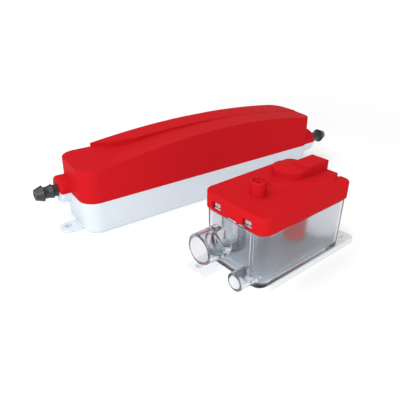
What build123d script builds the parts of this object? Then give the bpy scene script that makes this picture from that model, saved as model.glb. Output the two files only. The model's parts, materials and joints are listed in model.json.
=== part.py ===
"""Condensate pump set: a slim pump block with a solenoid piston pump, and its float reservoir.

Millimetres, +Z up. The origin is the middle of the pump block's base. The block lies along X with
its inlet at -X. The reservoir stands in front of the block (-Y) on its own station plane.
"""

import os
from math import atan, cos, degrees, radians, sin, sqrt

from build123d import *

# ---- shared clearances -------------------------------------------------------------------------
running_fit = 0.05      # radial, sliding shaft in its bore
nested_gap = 0.15       # between nested parts that do not move
body_gap = 0.3          # between parts that come apart

# ---- pump block: case --------------------------------------------------------------------------
case_length = 180.0
case_width = 41.0
case_corner = 10.0      # plan radius of the vertical corners
seam_height = 20.0      # where cover and lower case part
base_inset = 1.0        # the lower case is this much smaller all round at the floor
base_fillet = 2.4
cover_draft = 1.8       # degrees
cover_wall = 1.8
tray_wall = 3.0
tray_floor = 2.5
tongue_height = 1.8     # rim of the lower case that stands inside the cover

# ---- pump block: roof of the cover -------------------------------------------------------------
shelf_height = 39.2     # flat part at the inlet end
roof_reach = case_length / 2 + 5.0   # half length over which the arches are stated
roof_depth = 21.0       # half width over which the facet is stated
front_arch = (34.9, 47.7, 39.0)     # facet heights on the front side: inlet end, middle, outlet end
rear_arch = (28.8, 44.2, 41.6)      # facet heights on the rear side
spine_arch = (36.9, 46.65, 40.7)    # heights of the raised spine along the rear of the roof
spine_tip_x = -case_length / 2 + 20.0    # the spine starts here on the rear wall
spine_bend_1 = (spine_tip_x + 11.5, 10.5)
spine_bend_2 = (spine_tip_x + 26.0, 5.2)
spine_end_y = -1.5      # front edge of the spine at the outlet end
roof_fillet = 0.7

# ---- pump block: ports, ears, screws -----------------------------------------------------------
port_offset = 10.5      # the inlet lies this far to the rear, the outlet this far to the front
collar_radius = 8.5
collar_reach = case_length / 2 + 5.5     # x of the collar faces
collar_root = case_length / 2 - 10.0
collar_fillet = 1.4
pocket_radius = 6.7     # holds the barb's flange
pocket_reach = collar_reach - 2.2
barb_neck_radius = 3.6
barb_ridge_radius = 4.4
barb_head_radius = 5.0
barb_tip_radius = 3.2
barb_bore_radius = 2.0
barb_ridge_at = 3.0     # distances from the collar face
barb_head_length = 4.8
barb_shoulder = 0.7     # length of the steep rear side of a ridge
inlet_barb_reach = 13.3
outlet_barb_reach = 18.0
flange_thickness = 1.9
tail_length = 10.0      # part of the barb inside the case that carries the hose
ear_reach = case_length / 2 + 11.0
ear_width = 9.5
ear_offset = 4.0        # from the middle line, away from the port at that end
ear_thickness = 2.5
ear_hole_x = case_length / 2 + 6.2
ear_hole_radius = 2.1
ear_root_x = case_length / 2 - 5.0
screw_radius = 1.25
screw_head_radius = 2.6
screw_head_height = 1.8
screw_length = 26.0
screw_recess = 3.0
boss_radius = 3.2
end_screw_x = case_length / 2 - 7.0
screw_spots = ((-end_screw_x, -13.0), (-50.0, 14.2), (end_screw_x, 13.0), (60.0, -14.2))

# ---- pump block: solenoid pump, round the axis y = 0, z = seam_height ----------------------------
# Distances along X are from the middle of the piston at rest.
pump_middle = -3.0
piston_radius = 5.0
piston_length = 28.0
piston_stroke = 3.0     # each way
piston_bore_radius = 1.2
rod_radius = 2.4
rod_length = 20.0
disc_valve_thickness = 0.8
guide_wall = 1.0
guide_start = -40.0
guide_end = 30.0
flux_ring_wall = 1.4
flux_ring_length = 9.0
bobbin_half_length = 18.0
bobbin_core_wall = 1.0
bobbin_flange = 1.4
bobbin_flange_radius = 13.3
winding_radius = 12.9
yoke_plate = 2.0
yoke_height = 31.0
yoke_width = 26.0
stop_clearance = 0.4    # between a spring drawn at its shortest and its seat at full stroke
spring_wire = 0.45      # radius of the wire, drawn with flat sides
spring_wire_sides = 6
piston_spring_radius = 3.9
piston_spring_turns = 5
tail_plug_end = -25.4
tail_flange_length = 4.0
body_end_radius = 9.0   # round ends of the pump, held by the rubber bushes
head_length = 20.0
chamber_end = 38.3
seat_wall = 1.2
seat_bore_radius = 1.2
valve_chamber_radius = 3.6
valve_ball_radius = 2.6
valve_travel = 1.0
valve_spring_turns = 3
valve_spring_radius = 2.2
nozzle_flange_length = 3.0
nipple_radius = 3.2
nipple_length = 10.0
bush_wall = 2.5
bush_length = 5.0
inlet_bush = -42.0
outlet_bush = 38.0
cradle_thickness = 4.0
hose_wall = 1.4
hose_overlap = 9.0      # how far a hose is pushed on at each end
hose_lead = 0.8         # straight stretch after each end
foam_length = 34.0
foam_width = 22.0
cutout_size = (8.0, 3.0, 8.0)

# ---- pump block: control board -------------------------------------------------------------------
board_length = 30.3
board_end = pump_middle + inlet_bush - bush_length / 2 - 1.2
board_front = -15.5
board_rear = 10.0
board_height = 29.0
board_thickness = 1.6
board_post_radius = 1.8
board_posts = ((-66.5, -12.5), (-51.7, -12.5), (-51.7, 7.6), (-76.5, 2.0))
relay_size = (14.0, 7.0, 5.2)
relay_spot = (-58.5, -9.0)
capacitor_radius = 2.4
capacitor_length = 11.0
capacitor_spot = (-68.1, -9.0)
fuse_radius = 1.6
fuse_length = 10.0
fuse_spot = (-52.0, -0.5)
socket_length = 15.0
socket_wall = 0.9
socket_reach = 20.3     # y of the sockets' open faces
power_socket_x = -71.5
power_socket_size = (13.0, 5.8)
sensor_socket_x = -59.0
sensor_socket_size = (8.6, 5.2)
socket_pocket = 6.0     # how deep the plug goes in
pin_radius = 0.45
pin_length = 4.5
pin_pitch = 2.6

# ---- reservoir -----------------------------------------------------------------------------------
station_x = -14.93      # middle of the reservoir's base
station_y = -91.75
station_turn = 4.4      # degrees, the reservoir stands turned by this much
lid_length = 64.6
lid_width = 40.9
lid_corner = 5.5
lid_bottom = 33.4
lid_top = 42.0
lid_plate = 2.0
lid_skirt = 1.9
lid_edge_fillet = 0.6
tank_bottom = 3.6
tank_foot_length = 62.6
tank_foot_width = 38.9
tank_corner = 5.0
tank_shoulder = 33.0
tank_draft = 0.4        # growth all round from foot to shoulder
tank_wall = 1.8
tank_floor_top = 6.4
tank_neck_height = 31.5
rim_top = 39.0
rim_wall = 1.7
foot_recess = 1.4
tank_foot_fillet = 1.2
recess_length = 48.0
recess_width = 28.0
inlet_y = 8.0
inlet_z = 18.3
inlet_radius = 8.0
inlet_root_radius = 8.4
inlet_reach = 44.8
inlet_socket_radius = 6.4
inlet_socket_depth = 9.0
inlet_bore_radius = 5.0
outlet_y = -12.0
outlet_z = 9.1
outlet_radius = 4.7
outlet_reach = 40.2
outlet_bore_radius = 3.2
hose_stop_radius = 5.3
hose_stop_reach = 32.0  # x of the flat face a hose is pushed up to
mouth_fillet = 0.6
lug_offset = 10.2       # of the snap lugs and windows from the middle of an end face
lug_width = 3.6
lug_depth = 1.2
lug_low = 35.2
lug_high = 37.6
window_width = 5.8
window_low = 34.6
window_high = 38.3
wall_rib_y = -11.4
wall_rib_depth = 1.6
wall_rib_width = 1.0

# ---- reservoir: lid features ---------------------------------------------------------------------
vent_x = -16.5
vent_y = -1.0
vent_radius = 3.9
vent_bore_radius = 1.0
vent_recess_radius = 2.9
vent_recess_depth = 1.0
vent_top = 49.4
vent_chamfer = 0.5
boss_x = 13.25
boss_y = 5.1
big_boss_radius = 9.2
big_boss_rim = 46.1
big_boss_crown = 47.5
sensor_cavity_radius = 7.4
sensor_cavity_top = 44.3
block_start = 16.0
block_front = -4.4
block_rear = 6.1
block_top = 47.9
block_wall = 1.6
block_cavity_low = 43.2
pad_height = 0.8        # low raised area that carries the boss and the block
pad_foot = (
    (-5.0, 6.1), (-4.3, 1.1), (1.5, -6.5), (0.0, -10.1), (23.0, -15.7), (34.0, -10.1), (34.0, 6.1)
)
pad_crest = (
    (-4.9, 5.3), (-4.2, 2.3), (2.6, -2.1), (3.0, -2.4), (22.8, -15.3), (34.0, -9.7), (34.0, 5.3)
)
notch_front = -12.8
notch_rear = -8.2
notch_depth = 0.9
notch_length = 3.2
gasket_height = 0.7
skirt_steps = ((2.6, 0.8), (-5.0, 0.8))  # where the skirt's lower edge rises, from y, by this
skirt_step_width = 6.0

# ---- reservoir: float and sensor -----------------------------------------------------------------
guide_x = 13.4
guide_y = -0.6
float_guide_radius = 6.2
float_guide_wall = 1.0
float_guide_bottom = 8.6
guide_plate_thickness = 1.2
guide_plate_length = 21.0
guide_plate_width = 23.0
guide_plate_shift = 2.6 # of the plate's middle towards the rear of the tube
guide_slot_width = 3.0
guide_slot_low = 12.0
guide_slot_high = 33.0
retainer_thickness = 1.2
retainer_hole_radius = 1.3
retainer_hole_circle = 2.6
float_gap = 0.4
float_rest_gap = 0.3
float_height = 14.0
float_fillet = 1.0
magnet_radius = 2.6
magnet_height = 3.0
hall_spot = (13.4, -0.4)
hall_size = (3.2, 3.0, 1.2)
sensor_board_start = 11.2
sensor_board_end = 24.0
sensor_board_front = -1.9
sensor_board_rear = 4.3
sensor_board_thickness = 1.0
connector_reach = 32.2
connector_pocket = 5.0
connector_pins = 3
connector_pitch = 1.8
connector_wall = 0.7
connector_pin_radius = 0.3
connector_pin_length = 3.8

# ---- reservoir: inlet filter and bracket ---------------------------------------------------------
filter_radius = 6.6
filter_wall = 1.0
filter_x = -21.6
filter_bottom = 12.0
filter_top = 38.6
filter_mouth = 2.0      # the wall is cut away beyond this distance from the middle
filter_slot_width = 1.2
filter_slot_low = 14.0
filter_slot_high = 24.0
filter_slot_angles = (-40, 0, 40)
filter_fin_length = 10.0
filter_fin_width = 1.2
bracket_thickness = 3.3
bracket_length = 54.8
bracket_width = 39.2
bracket_corner = 5.0
bracket_ear_reach = 45.0
bracket_ear_width = 11.5
bracket_ear_y = 13.9
bracket_ear_corner = 2.6
bracket_hole_x = 39.2
bracket_hole_radius = 2.1
locator_height = 1.1

os.makedirs("parts", exist_ok=True)


def finish(piece, name):
    """Label one finished piece and write it to its own file."""
    piece.part.label = name
    export_step(piece.part, f"parts/{name}.step")


# ---- sizes that follow from the ones above --------------------------------------------------------
sockets = ((power_socket_x, power_socket_size), (sensor_socket_x, sensor_socket_size))
socket_base = board_height + board_thickness
cradles = (pump_middle + inlet_bush, pump_middle + outlet_bush)
guide_bore_radius = piston_radius + running_fit
guide_radius = guide_bore_radius + guide_wall
flux_ring_radius = guide_radius + running_fit + flux_ring_wall
bobbin_bore_radius = flux_ring_radius + running_fit
bobbin_core_radius = bobbin_bore_radius + bobbin_core_wall
yoke_half_length = bobbin_half_length + nested_gap + yoke_plate
piston_end = piston_length / 2
head_end = guide_end + head_length
seat_at = chamber_end + seat_wall
ball_at = seat_at + sqrt(valve_ball_radius**2 - seat_bore_radius**2) + running_fit
front_spring_length = guide_end - piston_end - piston_stroke - stop_clearance
rear_spring_length = -piston_end - tail_plug_end - piston_stroke - stop_clearance
valve_spring_length = head_end - ball_at - valve_ball_radius - valve_travel - running_fit
hose_bore_radius = nipple_radius + running_fit
rim_length = lid_length - 2 * lid_skirt - 2 * body_gap
rim_width = lid_width - 2 * lid_skirt - 2 * body_gap
rim_corner = lid_corner - lid_skirt - body_gap
lid_underside = lid_top - lid_plate
guide_bore = float_guide_radius - float_guide_wall
float_bottom = float_guide_bottom + retainer_thickness + float_rest_gap
float_top = float_bottom + float_height

# ==================================================================================================
# Pump block: cover and lower case
# ==================================================================================================


def arch_profile(heights, depth, drop):
    """A vertical section at y = depth, flat below and arched on top, lowered by drop."""
    low, middle, high = (height - drop for height in heights)
    with BuildSketch(Plane.XZ.offset(-depth)) as section:
        with BuildLine():
            ThreePointArc((-roof_reach, low), (0, middle), (roof_reach, high))
            Polyline((roof_reach, high), (roof_reach, 0), (-roof_reach, 0), (-roof_reach, low))
        make_face()
    return section.sketch


def roof_form(drop):
    """Everything under the roof: the flat shelf, the arched facet and the raised spine."""
    with BuildSketch() as spine_plan:
        with BuildLine():
            Polyline(
                (spine_tip_x + drop, roof_depth),
                (spine_bend_1[0] + drop, spine_bend_1[1] + drop),
                (spine_bend_2[0] + drop, spine_bend_2[1] + drop),
                (roof_reach, spine_end_y + drop),
                (roof_reach, roof_depth),
                close=True,
            )
        make_face()
    with BuildPart() as spine:
        extrude(spine_plan.sketch, amount=max(spine_arch))
        extrude(arch_profile(spine_arch, roof_depth, drop), amount=2 * roof_depth, mode=Mode.INTERSECT)
    with BuildPart() as roof:
        with BuildSketch():
            Rectangle(2 * roof_reach, 2 * roof_depth)
        extrude(amount=shelf_height - drop)
        loft(
            [arch_profile(front_arch, -roof_depth, drop), arch_profile(rear_arch, roof_depth, drop)],
            ruled=True,
        )
        extrude(spine_plan.sketch, amount=max(front_arch), mode=Mode.SUBTRACT)
        add(spine.part)
    return roof.part


def cover_form(inset):
    """The cover's outline as a solid from the seam up, moved inwards by inset."""
    with BuildPart() as form:
        with BuildSketch(Plane.XY.offset(seam_height)):
            RectangleRounded(
                case_length - 2 * inset, case_width - 2 * inset, case_corner - inset
            )
        extrude(amount=max(front_arch), taper=cover_draft)
        add(roof_form(inset), mode=Mode.INTERSECT)
    return form.part


def port_y(side):
    """The inlet (side -1) lies to the rear and the outlet (side 1) to the front."""
    return -side * port_offset


def port_plane(side, x):
    """Plane across a port's axis at distance x from the middle, facing outwards."""
    return Plane(origin=(side * x, port_y(side), seam_height), x_dir=(0, side, 0), z_dir=(side, 0, 0))


def collar_half(side, upper):
    """One half of a port collar, the upper one on the cover and the lower one on the case."""
    with BuildPart() as collar:
        with BuildSketch(port_plane(side, collar_root)):
            Circle(collar_radius)
        extrude(amount=collar_reach - collar_root)
        fillet(collar.faces().sort_by(Axis((0, 0, 0), (side, 0, 0)))[-1].edges(), collar_fillet)
        split(bisect_by=Plane.XY.offset(seam_height), keep=Keep.TOP if upper else Keep.BOTTOM)
    return collar.part


def port_hollow(side):
    """The pocket for a barb's flange and the hole for its neck, as a solid to take away."""
    with BuildPart() as hollow:
        with BuildSketch(port_plane(side, collar_root - tail_length)):
            Circle(pocket_radius)
        extrude(amount=pocket_reach - collar_root + tail_length)
        with BuildSketch(port_plane(side, pocket_reach)):
            Circle(barb_neck_radius + nested_gap)
        extrude(amount=collar_reach - pocket_reach)
    return hollow.part


with BuildPart() as upper_cover:
    add(cover_form(0))
    # round the shelf's outline, not the creases where facet and spine rise from it
    shelf_edges = upper_cover.edges().filter_by_position(Axis.Z, shelf_height, shelf_height)
    fillet(
        shelf_edges.filter_by(
            lambda edge: edge.center().X < spine_tip_x
            and (
                edge.center().X < case_corner - case_length / 2
                or abs(edge.center().Y) > case_width / 2 - case_corner
            )
        ),
        roof_fillet,
    )
    for side in (-1, 1):
        add(collar_half(side, upper=True))
    add(cover_form(cover_wall), mode=Mode.SUBTRACT)
    with BuildSketch(Plane.XY.offset(seam_height)):
        with Locations(*screw_spots):
            Circle(boss_radius)
    extrude(until=Until.NEXT)
    with BuildSketch(Plane.XY.offset(seam_height)):
        with Locations(*screw_spots):
            Circle(screw_radius + running_fit)
    extrude(amount=screw_length + screw_recess - seam_height, mode=Mode.SUBTRACT)
    for side in (-1, 1):
        add(port_hollow(side), mode=Mode.SUBTRACT)
    # windows for the two sockets in the rear wall
    with BuildSketch(Plane.XZ.offset(-case_width / 2)):
        for x, (width, height) in sockets:
            with Locations((x, socket_base + height / 2)):
                Rectangle(width + 2 * nested_gap, height + 2 * nested_gap)
    extrude(amount=socket_length, mode=Mode.SUBTRACT)
finish(upper_cover, "upper_cover")

with BuildPart() as lower_case:
    with BuildSketch():
        RectangleRounded(
            case_length - 2 * base_inset, case_width - 2 * base_inset, case_corner - base_inset
        )
    extrude(amount=seam_height, taper=-degrees(atan(base_inset / seam_height)))
    fillet(lower_case.edges().group_by(Axis.Z)[0], base_fillet)
    # ears for the wall screws
    with BuildSketch():
        for side in (-1, 1):
            with Locations((side * (ear_root_x + ear_reach) / 2, side * ear_offset)):
                SlotOverall(ear_reach - ear_root_x, ear_width)
    extrude(amount=ear_thickness)
    for side in (-1, 1):
        add(collar_half(side, upper=False))
    # hollow, with a tongue that stands inside the cover
    with BuildSketch(Plane.XY.offset(seam_height)):
        tongue_inset = cover_wall + nested_gap
        RectangleRounded(
            case_length - 2 * tongue_inset, case_width - 2 * tongue_inset, case_corner - tongue_inset
        )
    extrude(amount=tongue_height)
    with BuildSketch(Plane.XY.offset(tray_floor)):
        RectangleRounded(
            case_length - 2 * tray_wall, case_width - 2 * tray_wall, case_corner - tray_wall
        )
    extrude(amount=seam_height + tongue_height - tray_floor, mode=Mode.SUBTRACT)
    # screw posts, board posts and the two cradles of the pump
    with BuildSketch(Plane.XY.offset(tray_floor)):
        with Locations(*screw_spots):
            Circle(boss_radius)
    extrude(amount=seam_height - tray_floor)
    with BuildSketch(Plane.XY.offset(tray_floor)):
        with Locations(*board_posts):
            Circle(board_post_radius)
    extrude(amount=board_height - tray_floor)
    for x in cradles:
        with BuildSketch(Plane.YZ.offset(x - cradle_thickness / 2)):
            with Locations((0, tray_floor)):
                Rectangle(
                    case_width - 2 * tray_wall, seam_height - tray_floor,
                    align=(Align.CENTER, Align.MIN),
                )
            with Locations((0, seam_height)):
                Circle(body_end_radius + bush_wall, mode=Mode.SUBTRACT)
        extrude(amount=cradle_thickness)
    with BuildSketch():
        with Locations(*screw_spots):
            Circle(screw_radius + body_gap)
        for side in (-1, 1):
            with Locations((side * ear_hole_x, side * ear_offset)):
                Circle(ear_hole_radius)
    extrude(amount=seam_height + tongue_height, mode=Mode.SUBTRACT)
    with BuildSketch():
        with Locations(*screw_spots):
            Circle(screw_head_radius + nested_gap)
    extrude(amount=screw_recess, mode=Mode.SUBTRACT)
    # the tongue makes room for the cover's bosses and for the ports
    with BuildSketch(Plane.XY.offset(seam_height)):
        with Locations(*screw_spots):
            Circle(boss_radius + nested_gap)
    extrude(amount=tongue_height, mode=Mode.SUBTRACT)
    for side in (-1, 1):
        add(port_hollow(side), mode=Mode.SUBTRACT)
finish(lower_case, "lower_case")

with BuildPart() as case_screws:
    with BuildSketch(Plane.XY.offset(screw_recess - screw_head_height)):
        with Locations(*screw_spots):
            Circle(screw_head_radius)
    extrude(amount=screw_head_height)
    with BuildSketch(Plane.XY.offset(screw_recess)):
        with Locations(*screw_spots):
            Circle(screw_radius)
    extrude(amount=screw_length)
finish(case_screws, "case_screws")


# ==================================================================================================
# Pump block: hose barbs and inner hoses
# ==================================================================================================


def turned(points, y=0.0, side=1):
    """A turned piece from (distance, radius) points, round the line along X at y and the seam."""
    profile_plane = Plane(origin=(0, y, seam_height), x_dir=(side, 0, 0), z_dir=(0, -side, 0))
    with BuildPart() as piece:
        with BuildSketch(profile_plane):
            with BuildLine():
                Polyline(*points, close=True)
            make_face()
        revolve(axis=Axis(profile_plane.origin, profile_plane.x_dir))
    return piece.part


def tube_points(start, end, bore, radius):
    """The profile of a plain tube or ring."""
    return ((start, bore), (end, bore), (end, radius), (start, radius))


def port_barb(side, reach):
    """A double hose barb, clamped by its flange in the collar, with a plain tail inside."""
    ridge = collar_reach + barb_ridge_at
    tip = collar_reach + reach
    head = tip - barb_head_length
    flange = pocket_reach - nested_gap
    tail = flange - flange_thickness
    flange_radius = pocket_radius - nested_gap
    points = (
        (tail - tail_length, barb_bore_radius),
        (tail - tail_length, nipple_radius),
        (tail, nipple_radius),
        (tail, flange_radius),
        (flange, flange_radius),
        (flange, barb_neck_radius),
        (ridge - barb_shoulder, barb_neck_radius),
        (ridge, barb_ridge_radius),
        ((ridge + head) / 2, barb_neck_radius),
        (head - barb_shoulder, barb_neck_radius),
        (head, barb_head_radius),
        (tip, barb_tip_radius),
        (tip, barb_bore_radius),
    )
    return turned(points, port_y(side), side)


for side, reach, name in ((-1, inlet_barb_reach, "inlet_barb"), (1, outlet_barb_reach, "outlet_barb")):
    with BuildPart() as barb:
        add(port_barb(side, reach))
    finish(barb, name)

# x where the tail of a barb ends, and where the nipples of the pump end
tail_end = pocket_reach - nested_gap - flange_thickness - tail_length
inlet_nipple_end = pump_middle + guide_start - tail_flange_length - nipple_length
outlet_nipple_end = pump_middle + head_end + nozzle_flange_length + nipple_length


def hose_half(end, y, heading, bend_y, bend_angle):
    """Half of an inner hose: the stretch pushed on up to end, then a bend round the point at bend_y."""
    lead = end + heading * hose_lead
    with BuildPart() as half:
        for start in (end - heading * hose_overlap, lead):
            with BuildSketch(Plane(origin=(start, y, seam_height), x_dir=(0, 1, 0), z_dir=(heading, 0, 0))):
                Circle(hose_bore_radius + hose_wall)
                Circle(hose_bore_radius, mode=Mode.SUBTRACT)
            if start == lead:
                revolve(axis=Axis((lead, bend_y, seam_height), (0, 0, -1)), revolution_arc=bend_angle)
            else:
                extrude(amount=hose_overlap + hose_lead)
    return half.part


for side, nipple_end, name in (
    (-1, inlet_nipple_end, "inlet_hose"),
    (1, outlet_nipple_end, "outlet_hose"),
):
    y = port_y(side)
    run = abs(side * tail_end - nipple_end) - 2 * hose_lead
    bend_radius = (run**2 + y**2) / (4 * port_offset)
    bend_angle = 2 * degrees(atan(port_offset / run))
    with BuildPart() as hose:
        add(hose_half(side * tail_end, y, -side, y + side * bend_radius, bend_angle))
        add(hose_half(nipple_end, 0, side, -side * bend_radius, bend_angle))
    finish(hose, name)


# ==================================================================================================
# Pump block: solenoid pump
# ==================================================================================================


def pump_turned(points):
    """A turned piece of the pump, its points given from the middle of the piston."""
    return turned([(pump_middle + x, radius) for x, radius in points])


def pump_spring(start, length, radius, turns):
    """A coil spring along the pump's axis from start, drawn at its shortest working length."""
    coil_length = length - 2 * spring_wire
    with BuildPart() as spring:
        with BuildLine() as wire:
            Helix(
                pitch=coil_length / turns,
                height=coil_length,
                radius=radius,
                center=(pump_middle + start + spring_wire, 0, seam_height),
                direction=(1, 0, 0),
            )
        with BuildSketch(Plane(origin=wire.line @ 0, z_dir=wire.line % 0)):
            RegularPolygon(spring_wire, spring_wire_sides)
        sweep(is_frenet=True)
    return spring.part


with BuildPart() as guide_tube:
    add(pump_turned(tube_points(guide_start, guide_end, guide_bore_radius, guide_radius)))
finish(guide_tube, "guide_tube")

with BuildPart() as piston:
    add(
        pump_turned(
            (
                (-piston_end, piston_bore_radius),
                (-piston_end, piston_radius),
                (piston_end, piston_radius),
                (piston_end, rod_radius),
                (piston_end + rod_length, rod_radius),
                (piston_end + rod_length, piston_bore_radius),
            )
        )
    )
finish(piston, "piston")

with BuildPart() as disc_valve:
    rod_tip = piston_end + rod_length
    add(
        pump_turned(
            ((rod_tip, 0), (rod_tip, rod_radius), (rod_tip + disc_valve_thickness, rod_radius),
             (rod_tip + disc_valve_thickness, 0))
        )
    )
finish(disc_valve, "piston_disc_valve")

with BuildPart() as front_spring:
    add(pump_spring(piston_end, front_spring_length, piston_spring_radius, piston_spring_turns))
finish(front_spring, "front_spring")

with BuildPart() as rear_spring:
    rear_start = -piston_end - rear_spring_length
    add(pump_spring(rear_start, rear_spring_length, piston_spring_radius, piston_spring_turns))
finish(rear_spring, "rear_spring")

with BuildPart() as flux_rings:
    for side in (-1, 1):
        inner_end = side * (bobbin_half_length - flux_ring_length)
        outer_end = side * bobbin_half_length
        add(pump_turned(tube_points(inner_end, outer_end, guide_radius + running_fit, flux_ring_radius)))
finish(flux_rings, "flux_rings")

with BuildPart() as coil_bobbin:
    flange_face = bobbin_half_length - bobbin_flange
    add(
        pump_turned(
            (
                (-bobbin_half_length, bobbin_bore_radius),
                (-bobbin_half_length, bobbin_flange_radius),
                (-flange_face, bobbin_flange_radius),
                (-flange_face, bobbin_core_radius),
                (flange_face, bobbin_core_radius),
                (flange_face, bobbin_flange_radius),
                (bobbin_half_length, bobbin_flange_radius),
                (bobbin_half_length, bobbin_bore_radius),
            )
        )
    )
finish(coil_bobbin, "coil_bobbin")

with BuildPart() as coil_winding:
    winding_half = bobbin_half_length - bobbin_flange - running_fit
    add(
        pump_turned(
            tube_points(-winding_half, winding_half, bobbin_core_radius + running_fit, winding_radius)
        )
    )
finish(coil_winding, "coil_winding")

with BuildPart() as yoke:
    with BuildSketch(Plane.XZ.offset(-yoke_width / 2)):
        with Locations((pump_middle, seam_height)):
            RectangleRounded(2 * yoke_half_length, yoke_height, yoke_plate)
            Rectangle(
                2 * (yoke_half_length - yoke_plate), yoke_height - 2 * yoke_plate, mode=Mode.SUBTRACT
            )
    extrude(amount=yoke_width)
    with BuildSketch(Plane.YZ.offset(pump_middle - yoke_half_length)):
        with Locations((0, seam_height)):
            Circle(guide_radius + running_fit)
    extrude(amount=2 * yoke_half_length, mode=Mode.SUBTRACT)
finish(yoke, "yoke")

with BuildPart() as pump_tail:
    plug_radius = guide_bore_radius - running_fit
    flange_start = guide_start - tail_flange_length
    add(
        pump_turned(
            (
                (flange_start - nipple_length, barb_bore_radius),
                (flange_start - nipple_length, nipple_radius),
                (flange_start, nipple_radius),
                (flange_start, body_end_radius),
                (guide_start, body_end_radius),
                (guide_start, plug_radius),
                (tail_plug_end, plug_radius),
                (tail_plug_end, barb_bore_radius),
            )
        )
    )
finish(pump_tail, "pump_tail")

with BuildPart() as pump_head:
    add(
        pump_turned(
            (
                (guide_end, rod_radius + running_fit),
                (guide_end, body_end_radius),
                (head_end, body_end_radius),
                (head_end, valve_chamber_radius),
                (seat_at, valve_chamber_radius),
                (seat_at, seat_bore_radius),
                (chamber_end, seat_bore_radius),
                (chamber_end, rod_radius + running_fit),
            )
        )
    )
finish(pump_head, "pump_head")

with BuildPart() as outlet_valve_ball:
    with Locations((pump_middle + ball_at, 0, seam_height)):
        Sphere(valve_ball_radius)
finish(outlet_valve_ball, "outlet_valve_ball")

with BuildPart() as outlet_valve_spring:
    valve_spring_start = ball_at + valve_ball_radius
    add(pump_spring(valve_spring_start, valve_spring_length, valve_spring_radius, valve_spring_turns))
finish(outlet_valve_spring, "outlet_valve_spring")

with BuildPart() as outlet_nozzle:
    nozzle_face = head_end + nozzle_flange_length
    add(
        pump_turned(
            (
                (head_end, barb_bore_radius),
                (head_end, body_end_radius),
                (nozzle_face, body_end_radius),
                (nozzle_face, nipple_radius),
                (nozzle_face + nipple_length, nipple_radius),
                (nozzle_face + nipple_length, barb_bore_radius),
            )
        )
    )
finish(outlet_nozzle, "outlet_nozzle")

for middle, name in ((inlet_bush, "inlet_bush"), (outlet_bush, "outlet_bush")):
    with BuildPart() as bush:
        add(
            pump_turned(
                tube_points(
                    middle - bush_length / 2,
                    middle + bush_length / 2,
                    body_end_radius + running_fit,
                    body_end_radius + bush_wall - running_fit,
                )
            )
        )
    finish(bush, name)

with BuildPart() as thermal_cutout:
    length, depth, height = cutout_size
    with Locations((pump_middle, winding_radius + nested_gap + depth / 2, seam_height)):
        Box(length, depth, height)
finish(thermal_cutout, "thermal_cutout")

with BuildPart() as foam_pad:
    with BuildSketch(Plane.XY.offset(tray_floor)):
        with Locations((pump_middle, 0)):
            Rectangle(foam_length, foam_width)
    extrude(amount=seam_height - yoke_height / 2 - nested_gap - tray_floor)
finish(foam_pad, "foam_pad")


# ==================================================================================================
# Pump block: control board
# ==================================================================================================

board_plane = Plane.XY.offset(board_height)
part_plane = Plane.XY.offset(socket_base)

with BuildPart() as control_board:
    with BuildSketch(board_plane):
        with Locations((board_end - board_length / 2, (board_front + board_rear) / 2)):
            Rectangle(board_length, board_rear - board_front)
        with Locations(*screw_spots):
            Circle(boss_radius + body_gap, mode=Mode.SUBTRACT)
    extrude(amount=board_thickness)
    add(cover_form(cover_wall + body_gap), mode=Mode.INTERSECT)
finish(control_board, "control_board")

with BuildPart() as relay:
    with BuildSketch(part_plane):
        with Locations(relay_spot):
            Rectangle(relay_size[0], relay_size[1])
    extrude(amount=relay_size[2])
    chamfer(relay.edges().group_by(Axis.Z)[-1], nested_gap)
finish(relay, "relay")

with BuildPart() as capacitor:
    with BuildSketch(Plane.XZ.offset(-capacitor_spot[1] - capacitor_length / 2)):
        with Locations((capacitor_spot[0], socket_base + capacitor_radius)):
            Circle(capacitor_radius)
    extrude(amount=capacitor_length)
finish(capacitor, "capacitor")

with BuildPart() as fuse:
    with BuildSketch(Plane.XZ.offset(-fuse_spot[1] - fuse_length / 2)):
        with Locations((fuse_spot[0], socket_base + fuse_radius)):
            Circle(fuse_radius)
    extrude(amount=fuse_length)
finish(fuse, "fuse")


def board_socket(x, size, pins):
    """An open plug socket that stands on the board and reaches through the rear wall."""
    width, height = size
    opening = Plane.XZ.offset(-socket_reach)
    with BuildPart() as socket:
        with BuildSketch(opening):
            with Locations((x, socket_base + height / 2)):
                Rectangle(width, height)
        extrude(amount=socket_length)
        with BuildSketch(opening):
            with Locations((x, socket_base + height / 2)):
                Rectangle(width - 2 * socket_wall, height - 2 * socket_wall)
        extrude(amount=socket_pocket, mode=Mode.SUBTRACT)
        with BuildSketch(opening.offset(socket_pocket)):
            with Locations((x, socket_base + height / 2)):
                with GridLocations(pin_pitch, 1, pins, 1):
                    Circle(pin_radius)
        extrude(amount=-pin_length)
    return socket.part


for (x, size), pins, name in zip(sockets, (4, 3), ("power_socket", "sensor_socket")):
    with BuildPart() as socket:
        add(board_socket(x, size, pins))
    finish(socket, name)


# ==================================================================================================
# Reservoir: planes and shared forms
# ==================================================================================================

turn = radians(station_turn)
station = Plane(origin=(station_x, station_y, 0), x_dir=(cos(turn), sin(turn), 0), z_dir=(0, 0, 1))


def across(x):
    """Plane across the reservoir at x; its sketch axes are the reservoir's y and height."""
    return Plane(
        origin=station.from_local_coords((x, 0, 0)), x_dir=station.y_dir, z_dir=station.x_dir
    )


def raised(x, y, points):
    """A turned piece that stands upright at (x, y), from (radius, height) points."""
    foot = station.from_local_coords((x, y, 0))
    with BuildPart() as piece:
        with BuildSketch(Plane(origin=foot, x_dir=station.x_dir, z_dir=-station.y_dir)):
            with BuildLine():
                Polyline(*points, close=True)
            make_face()
        revolve(axis=Axis(foot, (0, 0, 1)))
    return piece.part


def rounded_block(length, width, corner, low, high):
    """A block with rounded vertical corners, in the middle of the station."""
    with BuildPart() as block:
        with BuildSketch(station.offset(low)):
            RectangleRounded(length, width, corner)
        extrude(amount=high - low)
    return block.part


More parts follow.
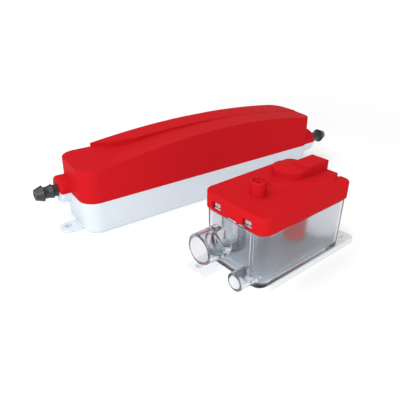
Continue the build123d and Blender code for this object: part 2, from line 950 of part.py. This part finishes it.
# ==================================================================================================
# Reservoir: bracket, tank, filter
# ==================================================================================================

with BuildPart() as mounting_bracket:
    with BuildSketch(station):
        RectangleRounded(bracket_length, bracket_width, bracket_corner)
        for side in (-1, 1):
            with Locations((side * bracket_ear_reach / 2, -side * bracket_ear_y)):
                RectangleRounded(bracket_ear_reach, bracket_ear_width, bracket_ear_corner)
        for side in (-1, 1):
            with Locations((side * bracket_hole_x, -side * bracket_ear_y)):
                Circle(bracket_hole_radius, mode=Mode.SUBTRACT)
    extrude(amount=bracket_thickness)
    chamfer(mounting_bracket.faces().sort_by(Axis.Z)[-1].outer_wire().edges(), body_gap)
    add(
        rounded_block(
            recess_length - 2 * body_gap, recess_width - 2 * body_gap, bracket_ear_corner,
            bracket_thickness, bracket_thickness + locator_height,
        )
    )
finish(mounting_bracket, "mounting_bracket")

with BuildPart() as tank:
    with BuildSketch(station.offset(tank_bottom)):
        RectangleRounded(tank_foot_length, tank_foot_width, tank_corner)
    body_height = tank_shoulder - tank_bottom
    extrude(amount=body_height, taper=-degrees(atan(tank_draft / body_height)))
    fillet(tank.edges().group_by(Axis.Z)[0], tank_foot_fillet)
    # the spigots
    inlet_length = inlet_reach - tank_foot_length / 2 + tank_wall / 2
    with BuildSketch(across(-inlet_reach)):
        with Locations((inlet_y, inlet_z)):
            Circle(inlet_radius)
    extrude(amount=inlet_length, taper=-degrees(atan((inlet_root_radius - inlet_radius) / inlet_length)))
    with BuildSketch(across(-outlet_reach)):
        with Locations((outlet_y, outlet_z)):
            Circle(outlet_radius)
    extrude(amount=outlet_reach - tank_foot_length / 2 + tank_wall / 2)
    with BuildSketch(across(-hose_stop_reach)):
        with Locations((outlet_y, outlet_z)):
            Circle(hose_stop_radius)
    extrude(amount=hose_stop_reach - tank_foot_length / 2 + tank_wall / 2)
    # the neck inside the lid, with its snap lugs
    add(rounded_block(rim_length, rim_width, rim_corner, tank_shoulder, rim_top))
    with BuildSketch(station.offset(lug_low)):
        for y in (-lug_offset, lug_offset):
            with Locations((0, y)):
                Rectangle(rim_length + 2 * lug_depth, lug_width)
    extrude(amount=lug_high - lug_low)
    # the water space
    add(
        rounded_block(
            tank_foot_length - 2 * tank_wall, tank_foot_width - 2 * tank_wall,
            tank_corner - tank_wall, tank_floor_top, tank_neck_height,
        ),
        mode=Mode.SUBTRACT,
    )
    add(
        rounded_block(
            rim_length - 2 * rim_wall, rim_width - 2 * rim_wall, rim_corner - rim_wall,
            tank_neck_height, rim_top,
        ),
        mode=Mode.SUBTRACT,
    )
    with BuildSketch(across(-inlet_reach)):
        with Locations((inlet_y, inlet_z)):
            Circle(inlet_socket_radius)
    extrude(amount=inlet_socket_depth, mode=Mode.SUBTRACT)
    with BuildSketch(across(-inlet_reach)):
        with Locations((inlet_y, inlet_z)):
            Circle(inlet_bore_radius)
        with Locations((outlet_y, outlet_z)):
            Circle(outlet_bore_radius)
    extrude(amount=inlet_reach - tank_foot_length / 2 + 2 * tank_wall, mode=Mode.SUBTRACT)
    fillet(
        tank.edges().filter_by(GeomType.CIRCLE).filter_by(
            lambda edge: station.to_local_coords(edge.center()).X < mouth_fillet - outlet_reach
        ),
        mouth_fillet,
    )
    add(
        rounded_block(
            recess_length, recess_width, bracket_ear_corner, tank_bottom, tank_bottom + foot_recess
        ),
        mode=Mode.SUBTRACT,
    )
    # a rib on the inlet wall and the fin that carries the filter
    with BuildSketch(station.offset(tank_floor_top)):
        rib_middle = -tank_foot_length / 2 + tank_wall + wall_rib_depth / 2
        with Locations((rib_middle, wall_rib_y)):
            Rectangle(wall_rib_depth, wall_rib_width)
    extrude(amount=tank_neck_height - tank_floor_top)
    with BuildSketch(station.offset(tank_floor_top)):
        with Locations((filter_x, inlet_y)):
            Rectangle(filter_fin_length, filter_fin_width)
    extrude(amount=filter_bottom - nested_gap - tank_floor_top)
finish(tank, "tank")

with BuildPart() as inlet_filter:
    add(
        raised(
            filter_x,
            inlet_y,
            (
                (0, filter_bottom),
                (filter_radius, filter_bottom),
                (filter_radius, filter_top),
                (filter_radius - filter_wall, filter_top),
                (filter_radius - filter_wall, filter_bottom + filter_wall),
                (0, filter_bottom + filter_wall),
            ),
        )
    )
    # open towards the inlet, with slots on the other side
    with BuildSketch(station.offset(filter_bottom + filter_wall)):
        with Locations((filter_x - filter_mouth, inlet_y)):
            Rectangle(filter_radius, 2 * filter_radius, align=(Align.MAX, Align.CENTER))
    extrude(amount=filter_top - filter_bottom, mode=Mode.SUBTRACT)
    with BuildSketch(station.offset(filter_slot_low)):
        for angle in filter_slot_angles:
            with Locations((filter_x, inlet_y)):
                with PolarLocations(filter_radius, 1, angle):
                    Rectangle(3 * filter_wall, filter_slot_width)
    extrude(amount=filter_slot_high - filter_slot_low, mode=Mode.SUBTRACT)
finish(inlet_filter, "inlet_filter")


# ==================================================================================================
# Reservoir: lid
# ==================================================================================================


def lid_pad():
    """The low raised area round boss and block, with sloping sides, cut off at the lid's end."""
    with BuildPart() as pad:
        for height, corners in ((lid_top, pad_foot), (lid_top + pad_height, pad_crest)):
            with BuildSketch(station.offset(height)):
                Polygon(*corners, align=None)
        loft(ruled=True)
        add(
            rounded_block(lid_length, lid_width, lid_corner, lid_top, lid_top + pad_height),
            mode=Mode.INTERSECT,
        )
    return pad.part


def crowned_boss():
    """The round sensor housing with its slightly domed top."""
    foot = station.from_local_coords((boss_x, boss_y, 0))
    with BuildPart() as boss:
        with BuildSketch(Plane(origin=foot, x_dir=station.x_dir, z_dir=-station.y_dir)):
            with BuildLine():
                TangentArc((0, big_boss_crown), (big_boss_radius, big_boss_rim), tangent=(1, 0))
                Polyline(
                    (big_boss_radius, big_boss_rim), (big_boss_radius, lid_underside),
                    (0, lid_underside), (0, big_boss_crown),
                )
            make_face()
        revolve(axis=Axis(foot, (0, 0, 1)))
    return boss.part


def cable_block(inset, low, high):
    """The box behind the boss; inset makes its hollow, open at the lid's end."""
    with BuildPart() as block:
        with BuildSketch(station.offset(low)):
            with Locations((block_start, block_front + inset)):
                Rectangle(
                    lid_length / 2 - block_start, block_rear - block_front - 2 * inset,
                    align=(Align.MIN, Align.MIN),
                )
        extrude(amount=high - low)
    return block.part


with BuildPart() as lid:
    add(rounded_block(lid_length, lid_width, lid_corner, lid_bottom, lid_top))
    fillet(lid.edges().group_by(Axis.Z)[-1], lid_edge_fillet)
    add(lid_pad())
    add(crowned_boss())
    add(cable_block(0, lid_underside, block_top))
    add(
        raised(
            vent_x,
            vent_y,
            (
                (0, lid_underside),
                (vent_radius, lid_underside),
                (vent_radius, vent_top - vent_chamfer),
                (vent_radius - vent_chamfer, vent_top),
                (0, vent_top),
            ),
        )
    )
    # the space over the tank's neck
    add(
        rounded_block(
            lid_length - 2 * lid_skirt, lid_width - 2 * lid_skirt, lid_corner - lid_skirt,
            lid_bottom, lid_underside,
        ),
        mode=Mode.SUBTRACT,
    )
    # vent, sensor space and cable way
    with BuildSketch(station.offset(lid_underside)):
        with Locations((vent_x, vent_y)):
            Circle(vent_bore_radius)
    extrude(amount=vent_top - lid_underside, mode=Mode.SUBTRACT)
    with BuildSketch(station.offset(vent_top - vent_recess_depth)):
        with Locations((vent_x, vent_y)):
            Circle(vent_recess_radius)
    extrude(amount=vent_recess_depth, mode=Mode.SUBTRACT)
    with BuildSketch(station.offset(lid_underside)):
        with Locations((boss_x, boss_y)):
            Circle(sensor_cavity_radius)
    extrude(amount=sensor_cavity_top - lid_underside, mode=Mode.SUBTRACT)
    add(cable_block(block_wall, block_cavity_low, block_top - block_wall), mode=Mode.SUBTRACT)
    # windows for the snap lugs, and the channels the lugs slide in below them
    with BuildSketch(station.offset(window_low)):
        for y in (-lug_offset, lug_offset):
            with Locations((0, y)):
                Rectangle(lid_length, window_width)
    extrude(amount=window_high - window_low, mode=Mode.SUBTRACT)
    with BuildSketch(station.offset(lid_bottom)):
        for y in (-lug_offset, lug_offset):
            with Locations((0, y)):
                Rectangle(rim_length + 2 * (lug_depth + body_gap), window_width)
    extrude(amount=window_low - lid_bottom, mode=Mode.SUBTRACT)
    # the skirt's lower edge steps up between its ends
    with BuildSketch(across(-lid_length / 2)):
        for edge, rise in skirt_steps:
            with Locations((edge, lid_bottom)):
                Rectangle(skirt_step_width, rise, align=(Align.MAX, Align.MIN))
    extrude(amount=lid_skirt, mode=Mode.SUBTRACT)
    # small notch in the top edge at the cable end
    with BuildSketch(station.offset(lid_top - notch_depth)):
        with Locations((lid_length / 2 - notch_length, notch_front)):
            Rectangle(notch_length, notch_rear - notch_front, align=(Align.MIN, Align.MIN))
    extrude(amount=notch_depth, mode=Mode.SUBTRACT)
finish(lid, "lid")

with BuildPart() as lid_gasket:
    add(rounded_block(rim_length, rim_width, rim_corner, lid_underside - gasket_height, lid_underside))
    add(
        rounded_block(
            rim_length - 2 * rim_wall, rim_width - 2 * rim_wall, rim_corner - rim_wall,
            lid_underside - gasket_height, lid_underside,
        ),
        mode=Mode.SUBTRACT,
    )
finish(lid_gasket, "lid_gasket")


# ==================================================================================================
# Reservoir: float and sensor
# ==================================================================================================

with BuildPart() as float_guide:
    plate_low = lid_underside - guide_plate_thickness
    with BuildSketch(station.offset(plate_low)):
        with Locations((guide_x, guide_y + guide_plate_shift)):
            RectangleRounded(guide_plate_length, guide_plate_width, float_guide_wall)
    extrude(amount=guide_plate_thickness)
    add(
        raised(
            guide_x,
            guide_y,
            (
                (guide_bore, float_guide_bottom),
                (float_guide_radius, float_guide_bottom),
                (float_guide_radius, plate_low),
                (guide_bore, plate_low),
            ),
        )
    )
    # water slots on the rear and the outer side
    with BuildSketch(station.offset(guide_slot_low)):
        with Locations((guide_x + guide_bore, guide_y)):
            Rectangle(3 * float_guide_wall, guide_slot_width)
        with Locations((guide_x, guide_y + guide_bore)):
            Rectangle(guide_slot_width, 3 * float_guide_wall)
    extrude(amount=guide_slot_high - guide_slot_low, mode=Mode.SUBTRACT)
finish(float_guide, "float_guide")

with BuildPart() as float_retainer:
    with BuildSketch(station.offset(float_guide_bottom)):
        with Locations((guide_x, guide_y)):
            Circle(guide_bore - running_fit)
            with PolarLocations(retainer_hole_circle, 4):
                Circle(retainer_hole_radius, mode=Mode.SUBTRACT)
    extrude(amount=retainer_thickness)
finish(float_retainer, "float_retainer")

with BuildPart() as float_body:
    with BuildSketch(station.offset(float_bottom)):
        with Locations((guide_x, guide_y)):
            Circle(guide_bore - float_gap)
    extrude(amount=float_height)
    fillet(float_body.edges().filter_by(GeomType.CIRCLE), float_fillet)
    with BuildSketch(station.offset(float_top - magnet_height)):
        with Locations((guide_x, guide_y)):
            Circle(magnet_radius + running_fit)
    extrude(amount=magnet_height, mode=Mode.SUBTRACT)
finish(float_body, "float")

with BuildPart() as float_magnet:
    with BuildSketch(station.offset(float_top - magnet_height)):
        with Locations((guide_x, guide_y)):
            Circle(magnet_radius)
    extrude(amount=magnet_height)
finish(float_magnet, "float_magnet")

with BuildPart() as sensor_board:
    with BuildSketch(station.offset(block_cavity_low)):
        with Locations((sensor_board_start, sensor_board_front)):
            Rectangle(
                sensor_board_end - sensor_board_start, sensor_board_rear - sensor_board_front,
                align=(Align.MIN, Align.MIN),
            )
    extrude(amount=sensor_board_thickness)
finish(sensor_board, "sensor_board")

with BuildPart() as hall_sensor:
    with BuildSketch(station.offset(block_cavity_low)):
        with Locations(hall_spot):
            Rectangle(hall_size[0], hall_size[1])
    extrude(amount=-hall_size[2])
finish(hall_sensor, "hall_sensor")

with BuildPart() as sensor_connector:
    way_middle = (block_front + block_rear) / 2
    way_width = block_rear - block_front - 2 * block_wall - 2 * nested_gap
    way_height = block_top - block_wall - block_cavity_low - nested_gap
    with BuildSketch(across(connector_reach)):
        with Locations((way_middle, block_cavity_low + way_height / 2)):
            Rectangle(way_width, way_height)
    extrude(amount=sensor_board_end + nested_gap - connector_reach)
    with BuildSketch(across(connector_reach)):
        with Locations((way_middle, block_cavity_low + way_height / 2)):
            Rectangle(way_width - 2 * connector_wall, way_height - 2 * connector_wall)
    extrude(amount=-connector_pocket, mode=Mode.SUBTRACT)
    with BuildSketch(across(connector_reach - connector_pocket)):
        with Locations((way_middle, block_cavity_low + way_height / 2)):
            with GridLocations(connector_pitch, 1, connector_pins, 1):
                Circle(connector_pin_radius)
    extrude(amount=connector_pin_length)
finish(sensor_connector, "sensor_connector")
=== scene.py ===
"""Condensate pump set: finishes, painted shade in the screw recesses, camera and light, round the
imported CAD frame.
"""

import json
import math

import bmesh
import bpy
from mathutils import Matrix, Vector


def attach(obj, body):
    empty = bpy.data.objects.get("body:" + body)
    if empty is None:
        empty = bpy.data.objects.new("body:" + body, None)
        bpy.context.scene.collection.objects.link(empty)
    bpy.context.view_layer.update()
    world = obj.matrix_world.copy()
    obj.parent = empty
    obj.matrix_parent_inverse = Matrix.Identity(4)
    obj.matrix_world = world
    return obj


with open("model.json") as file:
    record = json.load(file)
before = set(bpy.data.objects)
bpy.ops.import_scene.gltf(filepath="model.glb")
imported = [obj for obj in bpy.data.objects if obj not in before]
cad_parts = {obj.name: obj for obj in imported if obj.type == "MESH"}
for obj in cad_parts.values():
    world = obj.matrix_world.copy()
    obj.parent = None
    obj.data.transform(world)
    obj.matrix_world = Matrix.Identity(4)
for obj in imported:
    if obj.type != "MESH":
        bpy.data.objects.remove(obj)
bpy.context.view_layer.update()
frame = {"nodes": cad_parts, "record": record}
nodes = frame["nodes"]

MM = 0.001

# ---- camera: three-quarter view from the front left, a little above ------------------------------
IMAGE_WIDTH = 400               # pixels, and as high
FOCAL_LENGTH = 417.12           # in the same pixels
SENSOR_WIDTH = 36.0             # millimetres
CAMERA_AT = (-0.15208, -0.22164, 0.13050)
CAMERA_PITCH = 27.74            # degrees below level
CAMERA_HEADING = 34.6           # degrees from +Y towards +X
CAMERA_CLIP = 0.01

# ---- case screws of the pump block, seen from below ----------------------------------------------
SCREWS = ((-83.0, -13.0), (-50.0, 14.2), (83.0, 13.0), (60.0, -14.2))   # millimetres
SCREW_FACE = 1.2 * MM           # underside of the screw heads
CROSS_ARM = 1.35 * MM
CROSS_WIDTH = 0.42 * MM         # half the width of an arm
CROSS_DEPTH = 0.5 * MM
CROSS_PROUD = 0.03 * MM         # how far the recess stands off the head, so that both don't flicker

# ---- moulded plastics ----------------------------------------------------------------------------
FLOW_SIZE = 38 * MM             # patches of tone left by the flow of the melt
GRAIN_BUMP = 0.35
GLOSS_DOWN, GLOSS_UP = 0.05, 0.06   # how far the grain moves the roughness
EDGE_SAMPLES = 6
RIPPLE_SIZE = 14 * MM           # long soft waves in the clear walls
RIPPLE_DEPTH = 0.15 * MM
RIPPLE_BUMP = 0.25
CLEAR_EDGE = 0.5 * MM

# ---- metals and wire -----------------------------------------------------------------------------
LINE_STRETCH = 0.05             # the lines are twenty times as long as they are wide
LINE_DEPTH = 0.02 * MM
LINE_BUMP = 0.3
LINE_GLOSS_DOWN, LINE_GLOSS_UP = 0.07, 0.10
WIRE_PITCH = 3.2 * MM           # coarser than real wire, so that it shows
WIRE_DEPTH = 0.1 * MM
WIRE_BUMP = 0.6

# ---- studio --------------------------------------------------------------------------------------
FLOOR_HALF = 8.0
FLOOR_DROP = 0.2 * MM           # keeps the floor clear of the flat undersides
GLOW_NEAR, GLOW_FAR = 0.2, 0.9  # metres from the middle
GLOW_LOW, GLOW_HIGH = 0.2, 0.75
SKY_STRENGTH = 0.54
LIGHT_TARGET = (0.0, -0.04, 0.02)
LEFT_BOX_AT, LEFT_BOX_SIZE, LEFT_BOX_POWER = (-0.44, -0.42, 0.32), 0.35, 1.8
TOP_BOX_AT, TOP_BOX_SIZE, TOP_BOX_POWER = (-0.25, 0.0, 0.6), 0.5, 2.0


# ==================================================================================================
# Materials
# ==================================================================================================


def linear(hex_colour):
    """An sRGB hex colour as a linear RGBA tuple."""
    channels = [int(hex_colour[i : i + 2], 16) / 255 for i in (0, 2, 4)]
    return tuple(c / 12.92 if c <= 0.04045 else ((c + 0.055) / 1.055) ** 2.4 for c in channels) + (1.0,)


def add_node(tree, kind, settings=None, inputs=None):
    """Adds one node, sets its properties, and sets or links its inputs."""
    node = tree.nodes.new(kind)
    for key, value in (settings or {}).items():
        setattr(node, key, value)
    for key, value in (inputs or {}).items():
        if isinstance(value, bpy.types.NodeSocket):
            tree.links.new(value, node.inputs[key])
        else:
            node.inputs[key].default_value = value
    return node


def new_material(name, **shader):
    """A material with one Principled shader, its constants set on the shader itself."""
    material = bpy.data.materials.new(name)
    material.use_nodes = True
    tree = material.node_tree
    surface = tree.nodes["Principled BSDF"]
    for key, value in shader.items():
        surface.inputs[key.replace("_", " ").title().replace("Ior", "IOR")].default_value = value
    return material, tree, surface


def moulded(name, colour, shade, roughness, grain_mm, grain_depth_mm, edge_mm=0.35, ior=1.5, **extra):
    """Injection moulded plastic: an even colour with a faint flow tone, a fine spark-eroded grain
    that breaks up the gloss, and edges rounded as by the tool."""
    material, tree, surface = new_material(name, ior=ior, **extra)
    place = add_node(tree, "ShaderNodeTexCoord").outputs["Object"]
    flow = add_node(
        tree, "ShaderNodeTexNoise", inputs={"Vector": place, "Scale": 1 / FLOW_SIZE, "Detail": 2.0}
    )
    tone = add_node(
        tree,
        "ShaderNodeMix",
        {"data_type": "RGBA"},
        {"Factor": flow.outputs["Fac"], 6: linear(shade), 7: linear(colour)},
    )
    tree.links.new(tone.outputs[2], surface.inputs["Base Color"])
    grain = add_node(
        tree, "ShaderNodeTexNoise", inputs={"Vector": place, "Scale": 1 / (grain_mm * MM), "Detail": 3.0}
    )
    gloss = add_node(
        tree,
        "ShaderNodeMapRange",
        inputs={
            "Value": grain.outputs["Fac"],
            "To Min": roughness - GLOSS_DOWN,
            "To Max": roughness + GLOSS_UP,
        },
    )
    tree.links.new(gloss.outputs["Result"], surface.inputs["Roughness"])
    rounded = add_node(tree, "ShaderNodeBevel", {"samples": EDGE_SAMPLES}, {"Radius": edge_mm * MM})
    bump = add_node(
        tree,
        "ShaderNodeBump",
        inputs={
            "Strength": GRAIN_BUMP,
            "Distance": grain_depth_mm * MM,
            "Height": grain.outputs["Fac"],
            "Normal": rounded.outputs["Normal"],
        },
    )
    tree.links.new(bump.outputs["Normal"], surface.inputs["Normal"])
    return material


def clear_styrene():
    """Smoke-clear moulded styrene: it lets light through with a cool grey tint and bends it a little;
    its moulded faces are glossy with a long soft ripple."""
    material, tree, surface = new_material(
        "clear_styrene", ior=1.34, transmission_weight=1.0, roughness=0.15, base_color=linear("E2E6EA")
    )
    place = add_node(tree, "ShaderNodeTexCoord").outputs["Object"]
    ripple = add_node(
        tree, "ShaderNodeTexNoise", inputs={"Vector": place, "Scale": 1 / RIPPLE_SIZE, "Detail": 1.0}
    )
    rounded = add_node(tree, "ShaderNodeBevel", {"samples": EDGE_SAMPLES}, {"Radius": CLEAR_EDGE})
    bump = add_node(
        tree,
        "ShaderNodeBump",
        inputs={
            "Strength": RIPPLE_BUMP,
            "Distance": RIPPLE_DEPTH,
            "Height": ripple.outputs["Fac"],
            "Normal": rounded.outputs["Normal"],
        },
    )
    tree.links.new(bump.outputs["Normal"], surface.inputs["Normal"])
    # the lamps reach the pieces behind the wall
    clear = add_node(tree, "ShaderNodeBsdfTransparent", inputs={"Color": linear("F4F6F7")})
    ray = add_node(tree, "ShaderNodeLightPath")
    mix = add_node(
        tree,
        "ShaderNodeMixShader",
        inputs={0: ray.outputs["Is Shadow Ray"], 1: surface.outputs["BSDF"], 2: clear.outputs["BSDF"]},
    )
    tree.links.new(mix.outputs["Shader"], tree.nodes["Material Output"].inputs["Surface"])
    return material


def metal(name, colour, roughness, line_mm, along=(1, 0, 0), **extra):
    """Machined or drawn metal: fine lines along the way it was worked."""
    material, tree, surface = new_material(name, metallic=1.0, **extra)
    surface.inputs["Base Color"].default_value = linear(colour)
    place = add_node(tree, "ShaderNodeTexCoord").outputs["Object"]
    stretch = [1 / (line_mm * MM) * (LINE_STRETCH if axis else 1.0) for axis in along]
    lay = add_node(tree, "ShaderNodeMapping", inputs={"Vector": place, "Scale": stretch})
    lines = add_node(tree, "ShaderNodeTexNoise", inputs={"Vector": lay.outputs["Vector"], "Detail": 2.0})
    gloss = add_node(
        tree,
        "ShaderNodeMapRange",
        inputs={
            "Value": lines.outputs["Fac"],
            "To Min": roughness - LINE_GLOSS_DOWN,
            "To Max": roughness + LINE_GLOSS_UP,
        },
    )
    tree.links.new(gloss.outputs["Result"], surface.inputs["Roughness"])
    bump = add_node(
        tree,
        "ShaderNodeBump",
        inputs={"Strength": LINE_BUMP, "Distance": LINE_DEPTH, "Height": lines.outputs["Fac"]},
    )
    tree.links.new(bump.outputs["Normal"], surface.inputs["Normal"])
    return material


def wound_copper():
    """Enamelled copper wire under tape: rings of wire show as fine ridges round the coil, with painted
    shade darker in the hollows between them and lighter on their crests.
    """
    material, tree, surface = new_material("taped_winding", ior=1.55, coat_weight=0.3, roughness=0.4)
    place = add_node(tree, "ShaderNodeTexCoord").outputs["Object"]
    wires = add_node(
        tree,
        "ShaderNodeTexWave",
        {"bands_direction": "X"},
        {"Vector": place, "Scale": 1 / WIRE_PITCH, "Distortion": 0.4},
    )
    # painted shade: darker amber in the hollows between the wire rings, lighter on their crests,
    # following the bump
    tone = add_node(
        tree,
        "ShaderNodeMix",
        {"data_type": "RGBA"},
        {"Factor": wires.outputs["Fac"], 6: linear("B5761E"), 7: linear("E0A83A")},
    )
    tree.links.new(tone.outputs[2], surface.inputs["Base Color"])
    bump = add_node(
        tree,
        "ShaderNodeBump",
        inputs={"Strength": WIRE_BUMP, "Distance": WIRE_DEPTH, "Height": wires.outputs["Fac"]},
    )
    tree.links.new(bump.outputs["Normal"], surface.inputs["Normal"])
    return material


# Housings: satin faces that scatter the light, with hardly any gloss.
RED = moulded("red_abs", "C41B22", "BF1A20", 0.38, 0.55, 0.010, specular_ior_level=0.005)
WHITE = moulded("white_abs", "D5DEE6", "D1DAE2", 0.42, 0.55, 0.010, specular_ior_level=0.1)
# The bracket is the same white plastic as the case, painted lighter to make up for the shade that falls
# on it: a lit copy, painted light.
BRACKET_WHITE_PAINTED_LIGHTER = moulded(
    "white_abs_painted_lighter", "EDF0F2", "EAEDEF", 0.45, 0.55, 0.010, specular_ior_level=0.1
)
CLEAR = clear_styrene()

# Fittings and rubber: black nylon has a low sheen, rubber and hose are duller, foam is matt.
BLACK = moulded("black_nylon", "23282D", "1C2125", 0.34, 0.5, 0.008, edge_mm=0.25)
NYLON = moulded("grey_glass_filled_nylon", "8F9296", "86898D", 0.5, 0.35, 0.03)
RUBBER = moulded("black_moulded_rubber", "141415", "101011", 0.62, 0.4, 0.02, edge_mm=0.2)
SILICONE = moulded("grey_silicone_hose", "6D7073", "66696C", 0.5, 0.8, 0.01, edge_mm=0.1)
FOAM = moulded("open_cell_foam", "3A3A3D", "2C2C2F", 0.9, 1.1, 0.3, edge_mm=0.1)
FLOAT_FOAM = moulded("closed_cell_float", "26272A", "1E1F22", 0.7, 0.9, 0.06, edge_mm=0.3)

# Electrical parts: boards and cases are glossy, packages and ferrite are dull.
BOARD = moulded("solder_mask_on_glass_epoxy", "1B5A33", "174E2C", 0.35, 0.6, 0.01, edge_mm=0.1)
BLUE = moulded("blue_relay_case", "2A5FA8", "25569A", 0.35, 0.5, 0.01)
# The black epoxy finish also serves as the painted shade in the screw recesses.
BLACK_EPOXY_AND_RECESS_SHADE = moulded("black_epoxy_and_recess_shade", "1A1A1C", "151516", 0.5, 0.3, 0.01, edge_mm=0.1)
FERRITE = moulded("sintered_ferrite", "3A3B3D", "323335", 0.55, 0.3, 0.02, edge_mm=0.1)
GLASS = new_material("fuse_glass", ior=1.5, transmission_weight=1.0, roughness=0.02)[0]
WINDING = wound_copper()

# Metals: the lines of turning or drawing pull the highlights out.
STEEL = metal("turned_steel", "B9BBBE", 0.28, 0.4)
WIRE = metal("spring_wire", "A9ABAE", 0.3, 0.3)
ZINC = metal("zinc_plated_steel", "B4B8B2", 0.36, 0.8)
BRASS = metal("drawn_brass", "C9A052", 0.28, 0.5)
ALUMINIUM = metal("drawn_aluminium", "C6C8CA", 0.3, 0.5, along=(0, 1, 0))

FINISHES = {
    "red_plastic": RED,
    "white_plastic": WHITE,
    "black_plastic": BLACK,
    "clear_plastic": CLEAR,
    "grey_nylon": NYLON,
    "steel": STEEL,
    "spring_steel": WIRE,
    "zinc_steel": ZINC,
    "brass": BRASS,
    "winding_tape": WINDING,
    "black_rubber": RUBBER,
    "hose_rubber": SILICONE,
    "foam": FOAM,
    "board_green": BOARD,
    "relay_blue": BLUE,
    "aluminium": ALUMINIUM,
    "fuse_glass": GLASS,
    "sensor_black": BLACK_EPOXY_AND_RECESS_SHADE,
    "ferrite": FERRITE,
    "float_foam": FLOAT_FOAM,
}

for entry in frame["record"]["subparts"]:
    piece = nodes[entry["node"]]
    piece.data.materials.clear()
    piece.data.materials.append(FINISHES[entry["material_slot"]])
# painted light: the bracket takes the lighter painted copy of the white plastic
nodes["mounting_bracket"].data.materials[0] = BRACKET_WHITE_PAINTED_LIGHTER


# ==================================================================================================
# Small details: painted shade in the cross recesses of the case screws
# ==================================================================================================


def as_piece(name, mesh, material, body):
    """An object from a mesh that is already in place, with its finish, riding on a body."""
    piece = bpy.data.objects.new(name, mesh)
    bpy.context.collection.objects.link(piece)
    mesh.materials.clear()
    mesh.materials.append(material)
    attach(piece, body)
    return piece


def cross_recess_shade(name, x, y, face, body):
    """Painted shade for the cross recess of a screw head: a dark four-armed pit seen from below,
    standing in for the shade inside the recess.
    """
    shape = bmesh.new()
    outline = []
    for quarter in range(4):
        turn = Matrix.Rotation(quarter * math.pi / 2, 3, "Z")
        for corner in ((CROSS_WIDTH, CROSS_WIDTH), (CROSS_WIDTH, CROSS_ARM), (-CROSS_WIDTH, CROSS_ARM)):
            outline.append(turn @ Vector((corner[0], corner[1], 0.0)))
    rim = [shape.verts.new((x + p.x, y + p.y, face - CROSS_PROUD)) for p in outline]
    pit = [shape.verts.new((x + p.x * 0.5, y + p.y * 0.5, face + CROSS_DEPTH)) for p in outline]
    for i in range(len(rim)):
        j = (i + 1) % len(rim)
        shape.faces.new((rim[i], rim[j], pit[j], pit[i]))
    shape.faces.new(pit)
    shape.faces.new(list(reversed(rim)))
    bmesh.ops.recalc_face_normals(shape, faces=shape.faces)
    mesh = bpy.data.meshes.new(name)
    shape.to_mesh(mesh)
    shape.free()
    # painted shade: the black epoxy finish stands in for the shade inside the steel recess
    return as_piece(name, mesh, BLACK_EPOXY_AND_RECESS_SHADE, body)


for number, (x, y) in enumerate(SCREWS):
    cross_recess_shade(f"screw_recess_shade_{number}", x * MM, y * MM, SCREW_FACE, "pump_block")


# ==================================================================================================
# Floor, light and camera
# ==================================================================================================

floor_mesh = bpy.data.meshes.new("floor")
floor_corners = [
    (x * FLOOR_HALF, y * FLOOR_HALF, 0) for x, y in ((-1, -1), (1, -1), (1, 1), (-1, 1))
]
floor_mesh.from_pydata(floor_corners, [], [(0, 1, 2, 3)])
floor = bpy.data.objects.new("floor", floor_mesh)
bpy.context.collection.objects.link(floor)
# White sweep that glows more and more away from the middle, so that it fades out to plain white.
floor_paint, tree, surface = new_material(
    "backlit_sweep", roughness=0.9, base_color=linear("F2F2F2"), emission_color=linear("FFFFFF")
)
reach = add_node(
    tree,
    "ShaderNodeVectorMath",
    {"operation": "LENGTH"},
    {0: add_node(tree, "ShaderNodeTexCoord").outputs["Object"]},
)
glow = add_node(
    tree,
    "ShaderNodeMapRange",
    inputs={
        "Value": reach.outputs["Value"],
        "From Min": GLOW_NEAR,
        "From Max": GLOW_FAR,
        "To Min": GLOW_LOW,
        "To Max": GLOW_HIGH,
    },
)
tree.links.new(glow.outputs["Result"], surface.inputs["Emission Strength"])
floor_mesh.materials.append(floor_paint)
floor.location.z = -FLOOR_DROP

world = bpy.data.worlds.new("studio")
bpy.context.scene.world = world
world.use_nodes = True
sky = world.node_tree.nodes["Background"]
sky.inputs["Color"].default_value = linear("FFFFFF")
sky.inputs["Strength"].default_value = SKY_STRENGTH
bpy.context.scene.view_settings.view_transform = "Standard"


def soft_light(name, place, size, power):
    """A square soft box at place, turned towards the set."""
    lamp = bpy.data.lights.new(name, "AREA")
    lamp.size = size
    lamp.energy = power
    light = bpy.data.objects.new(name, lamp)
    light.location = place
    aim = Vector(LIGHT_TARGET) - Vector(place)
    light.rotation_euler = aim.to_track_quat("-Z", "Y").to_euler()
    bpy.context.collection.objects.link(light)


soft_light("left_box", LEFT_BOX_AT, LEFT_BOX_SIZE, LEFT_BOX_POWER)
soft_light("top_box", TOP_BOX_AT, TOP_BOX_SIZE, TOP_BOX_POWER)

camera_data = bpy.data.cameras.new("catalogue_camera")
camera_data.sensor_width = SENSOR_WIDTH
camera_data.lens = FOCAL_LENGTH / IMAGE_WIDTH * SENSOR_WIDTH
camera_data.clip_start = CAMERA_CLIP
camera = bpy.data.objects.new("catalogue_camera", camera_data)
camera.location = CAMERA_AT
camera.rotation_euler = (math.radians(90 - CAMERA_PITCH), 0.0, math.radians(-CAMERA_HEADING))
bpy.context.collection.objects.link(camera)
bpy.context.scene.camera = camera
